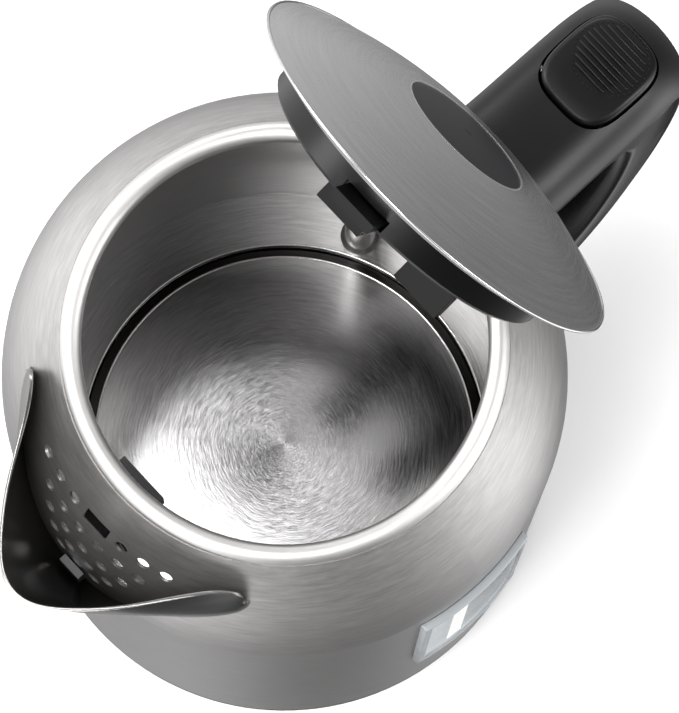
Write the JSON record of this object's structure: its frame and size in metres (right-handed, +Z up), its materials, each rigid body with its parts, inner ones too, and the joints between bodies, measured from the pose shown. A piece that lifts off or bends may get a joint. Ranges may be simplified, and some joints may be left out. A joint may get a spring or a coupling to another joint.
{
  "type": "electric kettle",
  "caption": "Cordless jug kettle in brushed steel with a spring-opened hinged lid, strainer spout, side water window, loop handle with lid button, and foot switch.",
  "frame": {"origin": "on the vessel's axis in the plane the kettle stands on, at the mouth of the connector socket", "axes": "+Z up, spout towards -Y, handle towards +Y, water window towards +X"},
  "size_m": [0.1516, 0.23, 0.3183],
  "materials": {
    "brushed_steel": "satin, turned brushing",
    "plate_steel": "swirl brushed",
    "aluminium": "mill finish",
    "sheath": "dark oxide",
    "brass": "plain",
    "socket_black": "matt",
    "base_black": "matt",
    "plated_steel": "zinc plated",
    "clear_window": "clear",
    "seal_rubber": "soft",
    "white_plastic": "plain",
    "gloss_black": "polished",
    "grey_plastic": "plain",
    "satin_black": "fine satin",
    "red_lens": "clear tinted"
  },
  "bodies": {
    "kettle": {"body_shell": "brushed_steel", "rim_bead": "brushed_steel", "spout": "brushed_steel", "heating_plate": "plate_steel", "diffuser_plate": "aluminium", "heating_element": "sheath", "element_pins": "sheath", "control_body": "socket_black", "contact_ring": "brass", "contact_pin": "brass", "bimetal_left": "brass", "bimetal_right": "brass", "base_cup": "base_black", "base_screws": "plated_steel", "window_lens": "clear_window", "window_gasket": "seal_rubber", "window_frame": "white_plastic", "lid_catch": "gloss_black", "catch_clip": "grey_plastic", "steam_tube": "brushed_steel", "steam_switch": "white_plastic", "handle_shell": "satin_black", "handle_panel": "gloss_black", "handle_bracket": "plated_steel", "handle_screws": "plated_steel", "hinge_bracket": "satin_black", "hinge_pin": "plated_steel", "torsion_spring": "plated_steel", "button_pin": "plated_steel", "button_spring": "plated_steel", "switch_pin": "plated_steel"},
    "lid": {"lid_dome": "brushed_steel", "lid_inlay": "gloss_black", "inlay_ring": "brushed_steel", "lid_skirt": "gloss_black", "lid_plate": "brushed_steel", "lid_seal": "seal_rubber", "lid_arms": "gloss_black", "lid_screws": "plated_steel", "spring_leg": "plated_steel", "latch_guide": "satin_black", "latch_spring": "plated_steel"},
    "latch": {"lid_latch": "gloss_black"},
    "button": {"release_button": "satin_black"},
    "rod": {"release_rod": "white_plastic"},
    "switch": {"power_switch": "satin_black", "indicator_lens": "red_lens"}
  },
  "joints": [
    {"name": "lid_hinge", "type": "hinge", "parent": "kettle", "child": "lid", "pos_m": [0, 0.0648, 0.2025], "axis": [1, 0, 0], "range_deg": [0, 66.2], "stiffness_Nm_per_rad": 0.06, "springref_deg": -40.11},
    {"name": "lid_latch", "type": "slide", "parent": "lid", "child": "latch", "axis": [0, 0.4035, -0.915], "range_m": [0, 0.004], "stiffness_N_per_m": 400, "springref_m": -0.002},
    {"name": "release_button", "type": "hinge", "parent": "kettle", "child": "button", "pos_m": [0, 0.1025, 0.1803], "axis": [-1, 0, 0], "range_deg": [0, 4.5], "stiffness_Nm_per_rad": 0.3, "springref_deg": -5.73, "deforming": ["button_spring"]},
    {"name": "release_rod", "type": "slide", "parent": "kettle", "child": "rod", "axis": [0, -1, 0], "range_m": [0, 0.003]},
    {"name": "power_switch", "type": "hinge", "parent": "kettle", "child": "switch", "pos_m": [0, 0.092, 0.031], "axis": [-1, 0, 0], "range_deg": [0, 8], "stiffness_Nm_per_rad": 0.01, "springref_deg": -5.73}
  ],
  "couplings": [
    {"joint": "release_rod", "follows": "release_button", "m_per_rad": 0.038}
  ]
}
